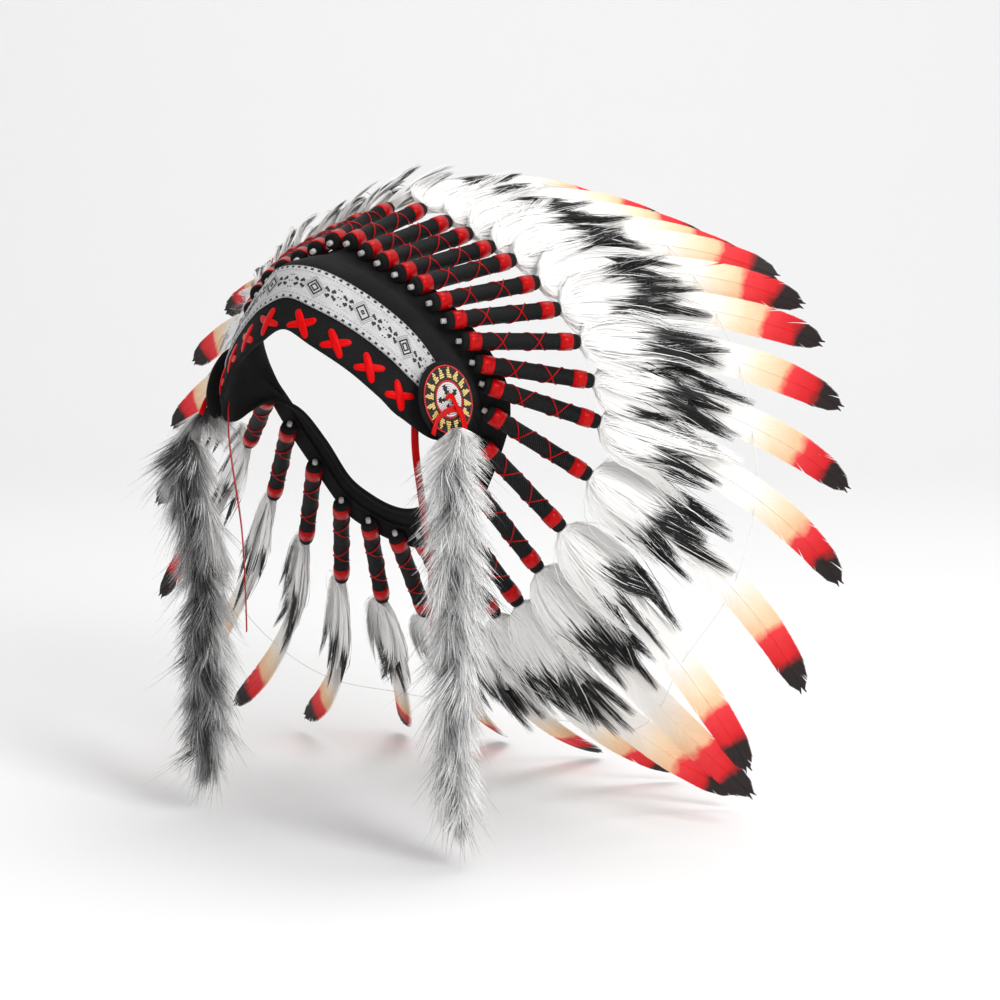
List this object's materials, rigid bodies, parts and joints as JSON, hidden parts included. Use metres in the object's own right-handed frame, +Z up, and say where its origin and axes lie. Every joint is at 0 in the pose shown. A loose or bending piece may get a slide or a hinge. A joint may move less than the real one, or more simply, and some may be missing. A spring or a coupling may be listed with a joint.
{
  "type": "feathered headdress",
  "caption": "Feathered headdress with a black felt band, silver woven ribbon, beaded rosettes, fur tails and a ring of dyed-tip feathers on thread-wound quills.",
  "frame": {"origin": "middle of the head, halfway between the two rosettes", "axes": "+Z up, the wearer faces -Y, the wearer's left is +X"},
  "size_m": [0.5276, 0.3177, 0.4021],
  "materials": {
    "black_felt": "matte wool felt",
    "woven_silver": "woven jacquard ribbon",
    "glass_beads": "sewn seed beads",
    "red_satin": "satin ribbon",
    "grey_fur": "long soft fur",
    "feather": "natural feather with bound quill"
  },
  "bodies": {
    "root": {"felt_band": "black_felt", "woven_ribbon": "woven_silver", "rosette_disc_left": "black_felt", "rosette_beadwork_left": "glass_beads", "rosette_lace_left": "red_satin", "fur_tail_left": "grey_fur", "chin_ribbon_left": "red_satin", "rosette_disc_right": "black_felt", "rosette_beadwork_right": "glass_beads", "rosette_lace_right": "red_satin", "fur_tail_right": "grey_fur", "chin_ribbon_right": "red_satin", "feather_left_01": "feather", "feather_left_02": "feather", "feather_left_03": "feather", "feather_left_04": "feather", "feather_left_05": "feather", "feather_left_06": "feather", "feather_left_07": "feather", "feather_left_08": "feather", "feather_left_09": "feather", "feather_left_10": "feather", "feather_left_11": "feather", "feather_left_12": "feather", "feather_left_13": "feather", "feather_left_14": "feather", "feather_left_15": "feather", "feather_left_16": "feather", "feather_right_01": "feather", "feather_right_02": "feather", "feather_right_03": "feather", "feather_right_04": "feather", "feather_right_05": "feather", "feather_right_06": "feather", "feather_right_07": "feather", "feather_right_08": "feather", "feather_right_09": "feather", "feather_right_10": "feather", "feather_right_11": "feather", "feather_right_12": "feather", "feather_right_13": "feather", "feather_right_14": "feather", "feather_right_15": "feather", "feather_right_16": "feather"}
  },
  "joints": []
}
